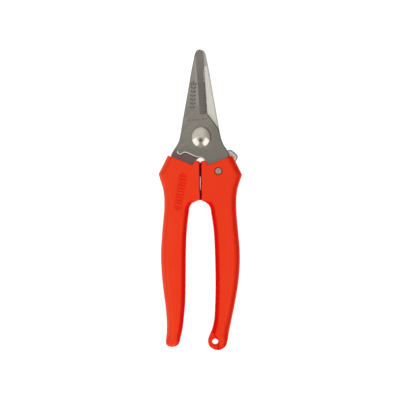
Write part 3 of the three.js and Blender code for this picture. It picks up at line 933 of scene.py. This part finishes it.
def stampings():
    """A plain sprig along the blade, and a row of short bars and dots above the pivot."""
    top = BLADE_Z + BLADE_THICKNESS
    rings = []
    start, end = Vector(SPRIG[0]), Vector(SPRIG[1])
    way = math.atan2(end.y - start.y, end.x - start.x)
    for i in range(LEAF_PAIRS):
        p = start.lerp(end, (i + 0.5) / LEAF_PAIRS)
        rings.append(leaf(p.x + 0.34, p.y, way - 0.78, *LEAF))
        rings.append(leaf(p.x - 0.34, p.y, way + 0.78, *LEAF))
    rings.append([(start.x + STEM, start.y), (end.x + STEM, end.y),
                  (end.x - STEM, end.y), (start.x - STEM, start.y)])
    for turn, off, long in ((-0.4, 0.85, 2.7), (0.0, 0.0, 3.6), (0.4, -0.85, 2.7)):
        rings.append(leaf(end.x + off, end.y + 0.5, way + turn, long, LEAF[1]))
    rings += [oblong(-7.92, -7.48, 49.2, 51.2), oblong(-6.62, -6.18, 49.2, 51.2)]
    dot = [(0.5 * math.cos(a * math.pi / 5), 0.5 * math.sin(a * math.pi / 5)) for a in range(10)]
    for x, y in ((-4.4, 50.4), (-1.3, 50.4), (1.9, 51.2)):
        rings.append([(x + u, y + v) for u, v in dot])
    rings += [oblong(-3.4, -2.3, 50.2, 50.6), oblong(3.2, 4.4, 50.8, 51.2)]
    solids = []
    for ring in rings:
        middle = Vector((sum(p[0] for p in ring) / len(ring), sum(p[1] for p in ring) / len(ring)))
        low = [tuple(middle.lerp(Vector(p), 0.8)) + (top - STAMP_DEPTH,) for p in ring]
        high = [tuple(middle.lerp(Vector(p), 1.1)) + (top + 0.08,) for p in ring]
        solids.append(prism([low, high]))
    return solids


def mark_faces(piece):
    """Gives the ground edge its own material, and the serrations and stampings theirs."""
    heel, along, across, _ = edge_frame()
    slope = (BLADE_THICKNESS - EDGE_LAND) / BEVEL_WIDTH
    for face in piece.data.polygons:
        c = face.center / MM
        off = (c - heel).dot(across)
        s = (c - heel).dot(along)
        depth = BLADE_Z + BLADE_THICKNESS - c.z
        sunk = BLADE_Z + EDGE_LAND - slope * off - c.z
        if face.normal.z < 0.2 or depth < 0.01:
            face.material_index = STEEL_FACE
        elif off > -BEVEL_WIDTH - 0.05 and s > 0.01:
            groove = STAMP_FACE if s < NOTCHES[0] else NOTCH_FACE
            face.material_index = groove if sunk > 0.015 else GROUND_FACE
        else:
            # the stampings lie clear of the blade's rim, which is sunk as well
            stamped = depth < 0.2 and c.y > 48.5 and -10.3 + 0.175 * (c.y - 50.5) < c.x < 5.5
            face.material_index = STAMP_FACE if stamped else STEEL_FACE


# ---------------------------------------------------------------- metal fittings
HEAD_RADIUS = 5.8
HEAD_HEIGHT = 1.5
HEAD_SHIFT = (0.38, -0.12)
HEAD_STRETCH = 1.08
SHANK_RADIUS = 3.0
LEVER_THICKNESS = 1.8
LEVER_RADIUS = 4.6
LEVER_BORE = 1.6
BEND_RADIUS = 1.7
# the rays from the catch's pin, in degrees, between which its edge is folded down
FOLD = (37.0, 60.5)
FOLD_WALL = 1.55
WASHER_RADIUS = 5.4
WASHER_THICKNESS = 0.7
# the gap between a blade and the washer or the catch beside it
WASHER_GAP = 0.2
LEVER_GAP = 0.45
SPRING_TURNS = 9
SPRING_WIRE = 0.4
SPRING_RADIUS = 2.3
SPRING_HALF = 6.1


def domed(radius, height, z, direction, steps=16):
    """A dome's profile, from its rim at z to its top, up or down by `direction`."""
    sphere = (radius**2 + height**2) / (2 * height)
    edge = math.asin(radius / sphere)
    return [
        (sphere * math.sin(edge * (1 - i / steps)),
         z + direction * (sphere * math.cos(edge * (1 - i / steps)) - sphere + height))
        for i in range(steps + 1)
    ]


def pivot_rivet():
    head_z = BLADE_Z + BLADE_THICKNESS + 0.05
    washer_z = THICKNESS - (BLADE_Z + BLADE_THICKNESS + WASHER_GAP) - WASHER_THICKNESS
    tail = domed(4.2, 1.7, washer_z - 0.2, -1)[::-1]
    head = [(5.6, head_z), (5.78, head_z + 0.06)] + domed(HEAD_RADIUS, HEAD_HEIGHT, head_z + 0.1, 1)
    shank = [(SHANK_RADIUS, z) for z in (washer_z - 0.2, head_z - 0.3, head_z)]
    piece = turned("pivot_rivet_polished", tail + shank + head, PIVOT, 128)
    # the head was closed by hammering, which left it a little long and off centre
    for v in piece.data.vertices:
        if v.co.z > (head_z - 0.01) * MM:
            v.co.x += HEAD_SHIFT[0] * MM
            v.co.y = (PIVOT[1] + HEAD_SHIFT[1]) * MM + (v.co.y - PIVOT[1] * MM) * HEAD_STRETCH
    sharpen(piece, 40)
    piece.data.materials.append(POLISHED)
    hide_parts("pivot_rivet")
    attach(piece, "right_half")


def catch_rivet():
    ring = [(0.0, 12.78), (0.3, 12.79), (0.45, 12.86), (1.75, 12.88), (1.95, 12.8), (2.1, 12.5),
            (2.1, 11.7), (1.5, 11.6), (1.5, 1.4), (2.1, 1.3), (2.1, 0.45), (1.95, 0.2),
            (1.75, 0.12), (0.0, 0.1)]
    piece = turned("catch_rivet_turned", ring[::-1], CATCH_PIN, 64)
    sharpen(piece, 45)
    piece.data.materials.append(RIVET)
    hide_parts("catch_rivet")
    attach(piece, "right_half")


def catch_lever():
    """A stamped lever: a flat plate on its pin, folded down round its outer edge as a thumb tab."""
    z0 = BLADE_Z - LEVER_GAP - LEVER_THICKNESS
    z1 = z0 + LEVER_THICKNESS
    head = Outline(list(catmull(CATCH, 4, closed=True)), margin=6)

    def field(x, y, z):
        pin = np.hypot(x - CATCH_PIN[0], y - CATCH_PIN[1])
        d = either(head(x, y), pin - LEVER_RADIUS, 1.0)
        plate = eased_plate(d, z - (z0 + z1) / 2 + MID_Z, LEVER_THICKNESS / 2, 0.35, 0.35)
        # the folded rim follows the outer edge of the head between two rays from the pin
        turn = np.degrees(np.arctan2(y - CATCH_PIN[1], x - CATCH_PIN[0]))
        sector = slab(turn, *FOLD) * 0.24
        rim = np.maximum(slab(head(x, y), -FOLD_WALL, 0), slab(z, 0.5, z1 - 0.3))
        rim = both(rim, sector, 0.5)
        bend = either(plate, rim, 0.8)
        over = np.maximum(z - (z1 - BEND_RADIUS), 0)
        corner = np.hypot(np.maximum(d + BEND_RADIUS, 0), over) - BEND_RADIUS
        bend = np.where(turn > 20, both(bend, np.where(turn < 68, corner, -9.0), 0.2), bend)
        return without(bend, pin - LEVER_BORE, 0.2)

    step = 0.2
    points, quads = surface(field, (5.8, 12.6, 0.2), (24.4, 32.2, z1 + 0.4), step)
    piece = mesh_piece("catch_lever_stamping", points, quads)
    piece.data.materials.append(PLATED)
    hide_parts("catch_lever")
    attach(piece, "catch")


def washers():
    """The pressed washer under the pivot; the catch's washer keeps its CAD shape."""
    z1 = THICKNESS - (BLADE_Z + BLADE_THICKNESS) - WASHER_GAP
    z0 = z1 - WASHER_THICKNESS
    piece = washer_piece("pivot_washer_pressed", WASHER_RADIUS, PIVOT_BORE, z0, z1, PIVOT)
    sharpen(piece)
    piece.data.materials.append(ZINC)
    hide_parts("pivot_washer")
    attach(piece, "right_half")
    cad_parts["catch_washer"].data.materials.clear()
    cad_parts["catch_washer"].data.materials.append(ZINC)


def handle_spring():
    """A compression spring along X, with a closed turn at each end."""
    closed = 2 * SPRING_WIRE + 0.1
    pitch = (2 * SPRING_HALF - 2 * closed) / (SPRING_TURNS - 2)
    path = []
    for i in range(SPRING_TURNS * 40 + 1):
        turn = i / 40
        ends = min(turn, 1) + max(turn - SPRING_TURNS + 1, 0)
        x = -SPRING_HALF + ends * closed + (turn - ends) * pitch
        y, z = (SPRING_RADIUS * f(2 * math.pi * turn) for f in (math.cos, math.sin))
        path.append((x, SPRING_Y + y, MID_Z + z))
    piece = swept("handle_spring_coil", path, SPRING_WIRE, 14)
    sharpen(piece, 50)
    piece.data.materials.append(WIRE)
    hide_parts("handle_spring")
    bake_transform(piece)


# ---------------------------------------------------------------- studio
def area_light(name, at, size, power):
    """A lamp of `power` watts, turned towards the origin."""
    light = bpy.data.lights.new(name, "AREA")
    light.shape = "RECTANGLE"
    light.size, light.size_y = size
    light.energy = power
    lamp = bpy.data.objects.new(name, light)
    lamp.location = at
    lamp.rotation_euler = (Vector((0, 0, 0)) - Vector(at)).to_track_quat("-Z", "Y").to_euler()
    bpy.context.scene.collection.objects.link(lamp)


def sky():
    """A soft ceiling, dimmer just overhead, low down and on the near side, with two low windows."""
    n = Nodes("studio", world=True)
    x, y, z = n.xyz()
    ceiling = n.span(z, 0.25, 0.7, WORLD_SIDE, WORLD_CEILING)
    ceiling = n.math("MULTIPLY", ceiling, n.span(x, 0.1, 0.7, 1.0, WORLD_RIGHT))
    ceiling = n.math("MULTIPLY", ceiling, n.span(y, -0.35, 0.05, WORLD_NEAR, 1.0))
    # cosine of the angle from a point a little in front of straight overhead
    overhead = n.math("SUBTRACT", n.math("MULTIPLY", z, 0.978), n.math("MULTIPLY", y, 0.208))
    total = n.math("MULTIPLY", ceiling, n.span(overhead, 0.968, 0.990, 1.0, WORLD_OVERHEAD))
    total = n.math("ADD", total, n.span(y, -0.74, -0.88, 0.0, WORLD_WINDOW))
    total = n.math("ADD", total, n.span(x, -0.78, -0.90, 0.0, WORLD_LEFT))
    n.put("Strength", total)
    n.put("Color", (1, 1, 1, 1))
    bpy.context.scene.world = n.material


def studio():
    scene = bpy.context.scene
    sky()
    bm = bmesh.new()
    bmesh.ops.create_grid(bm, x_segments=2, y_segments=2, size=FLOOR_HALF)
    mesh = bpy.data.meshes.new("floor")
    bm.to_mesh(mesh)
    bm.free()
    floor = bpy.data.objects.new("floor", mesh)
    floor.location.z = -0.0002
    scene.collection.objects.link(floor)
    n = Nodes("floor_white")
    colour = n.mix(n.noise(3.0, 2.0), (0.22, 0.22, 0.22, 1), (0.26, 0.26, 0.26, 1))
    n.put("Base Color", colour)
    n.put("Roughness", 0.9)
    n.put("Specular IOR Level", 0.0)
    n.put("Emission Color", (1, 1, 1, 1))
    n.put("Emission Strength", FLOOR_GLOW)
    mesh.materials.append(n.material)

    area_light("left", (-0.76, -0.52, 1.0), (0.95, 0.95), LEFT)
    area_light("right", (0.72, -0.50, 1.0), (0.90, 0.90), RIGHT)

    camera = bpy.data.cameras.new("camera")
    camera.lens = 100
    camera.clip_start = 0.01
    viewer = bpy.data.objects.new("camera", camera)
    # straight above, at the height from which the sensor's 36 mm take in FIELD at the snips
    viewer.location = (*AIM, MID_Z * MM + FIELD / 36 * camera.lens)
    scene.collection.objects.link(viewer)
    scene.camera = viewer
    scene.view_settings.view_transform = "Standard"
    scene.view_settings.look = "None"


FLOOR_HALF = 20
FIELD = 0.2534
AIM = (-0.19 * MM, -0.16 * MM)
WORLD_SIDE = 0.14
WORLD_CEILING = 1.00
WORLD_RIGHT = 0.60
WORLD_NEAR = 0.40
WORLD_OVERHEAD = 0.20
WORLD_WINDOW = 2.2
WORLD_LEFT = 0.4
FLOOR_GLOW = 0.98
LEFT = 4.2
RIGHT = 4.2

GRIP = grip_material()
GROUND = ground_material("ground_edge")
STAMP = stamp_material()
# near-white steel on the short grooves' faces: a painted glint
NOTCH_GLINT = polished_material(
    "notch_painted_glint", (0.86, 0.85, 0.80, 1), (0.95, 0.94, 0.90, 1), 0.30, 0.40, 900.0)
POLISHED = polished_material(
    "polished_rivet", (0.495, 0.450, 0.388, 1), (0.57, 0.53, 0.465, 1), 0.17, 0.23, 400.0, 8.0)
RIVET = polished_material(
    "rivet_end", (0.30, 0.24, 0.195, 1), (0.47, 0.385, 0.315, 1), 0.28, 0.42, 1500.0)
PLATED = plated_material()
ZINC = polished_material(
    "zinc_plate", (0.52, 0.56, 0.56, 1), (0.70, 0.74, 0.74, 1), 0.28, 0.42, 1200.0)
WIRE = polished_material(
    "spring_wire", (0.16, 0.14, 0.13, 1), (0.26, 0.24, 0.22, 1), 0.32, 0.5, 2000.0)

studio()
grip("right")
grip("left")
blade("front_blade_ground", True)
blade("rear_blade_ground", False)
pivot_rivet()
catch_rivet()
catch_lever()
washers()
handle_spring()
